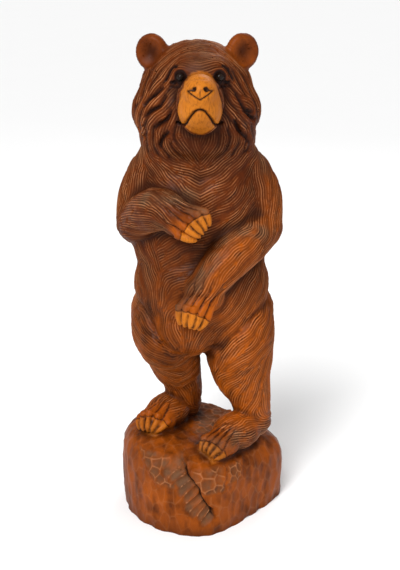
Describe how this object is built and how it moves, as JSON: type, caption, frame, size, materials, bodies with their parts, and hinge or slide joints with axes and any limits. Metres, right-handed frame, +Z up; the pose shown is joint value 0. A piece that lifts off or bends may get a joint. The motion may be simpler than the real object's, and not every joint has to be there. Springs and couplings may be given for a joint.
{
  "type": "carved wooden bear statue",
  "caption": "Standing bear carved with its rounded rock base from one log, forepaws across chest and belly, fur tooled all over, round dark glass eyes.",
  "frame": {"origin": "middle of the log's flat underside", "axes": "+Z up along the log, the bear faces -Y, its left is +X"},
  "size_m": [0.3489, 0.3462, 1.0014],
  "materials": {
    "stained_wood": "red-brown stain under worn satin varnish, darker in the tool cuts, grey-brown where weathered",
    "dark_glass": "polished near-black glass"
  },
  "bodies": {
    "root": {"carved_bear": "stained_wood", "glass_eye_left": "dark_glass", "glass_eye_right": "dark_glass"}
  },
  "joints": []
}
